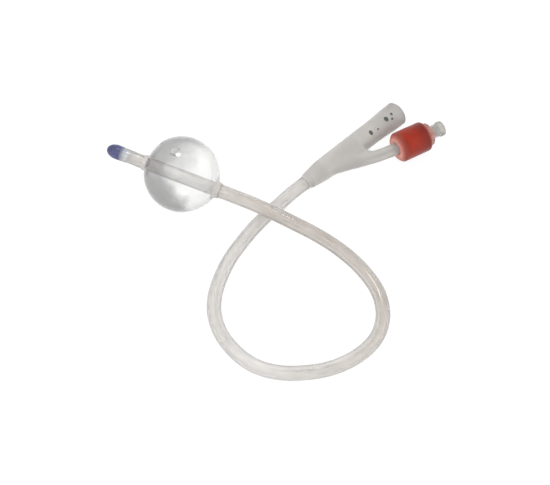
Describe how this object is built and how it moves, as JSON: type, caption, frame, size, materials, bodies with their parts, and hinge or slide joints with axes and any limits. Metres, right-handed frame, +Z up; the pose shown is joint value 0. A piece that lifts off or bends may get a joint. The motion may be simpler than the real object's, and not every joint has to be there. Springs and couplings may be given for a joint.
{
  "type": "foley urinary catheter",
  "caption": "Silicone urinary catheter with an inflated retention balloon behind a rounded tip, a looped shaft, a Y-shaped drainage funnel and a sprung inflation valve.",
  "frame": {"origin": "on the table, under the middle of the box of the Y hub and the inflation valve", "axes": "+X along the drainage funnel towards its mouth, +Z up from the table, +Y towards the side of the balloon and away from the inflation arm"},
  "size_m": [0.1517, 0.1472, 0.0324],
  "materials": {
    "clear_silicone": "smooth, translucent",
    "balloon_silicone": "glossy, clear",
    "frosted_silicone": "frosted, translucent",
    "blue_silicone": "smooth",
    "red_plastic": "satin",
    "clear_plastic": "clear, slightly milky",
    "white_plastic": "smooth",
    "seal_rubber": "matte",
    "spring_steel": "bright wire"
  },
  "bodies": {
    "catheter": {"shaft": "clear_silicone", "tip": "blue_silicone", "balloon": "balloon_silicone", "hub": "frosted_silicone", "valve_sleeve": "red_plastic", "valve_housing": "clear_plastic", "valve_end": "white_plastic", "valve_spring": "spring_steel"},
    "plunger": {"valve_stem": "white_plastic", "valve_seal": "seal_rubber"}
  },
  "joints": [
    {"name": "plunger_press", "type": "slide", "parent": "catheter", "child": "plunger", "axis": [-0.9699, 0.2436, 0], "range_m": [0, 0.0018], "stiffness_N_per_m": 800, "springref_m": -0.0015, "deforming": ["valve_spring"]}
  ]
}
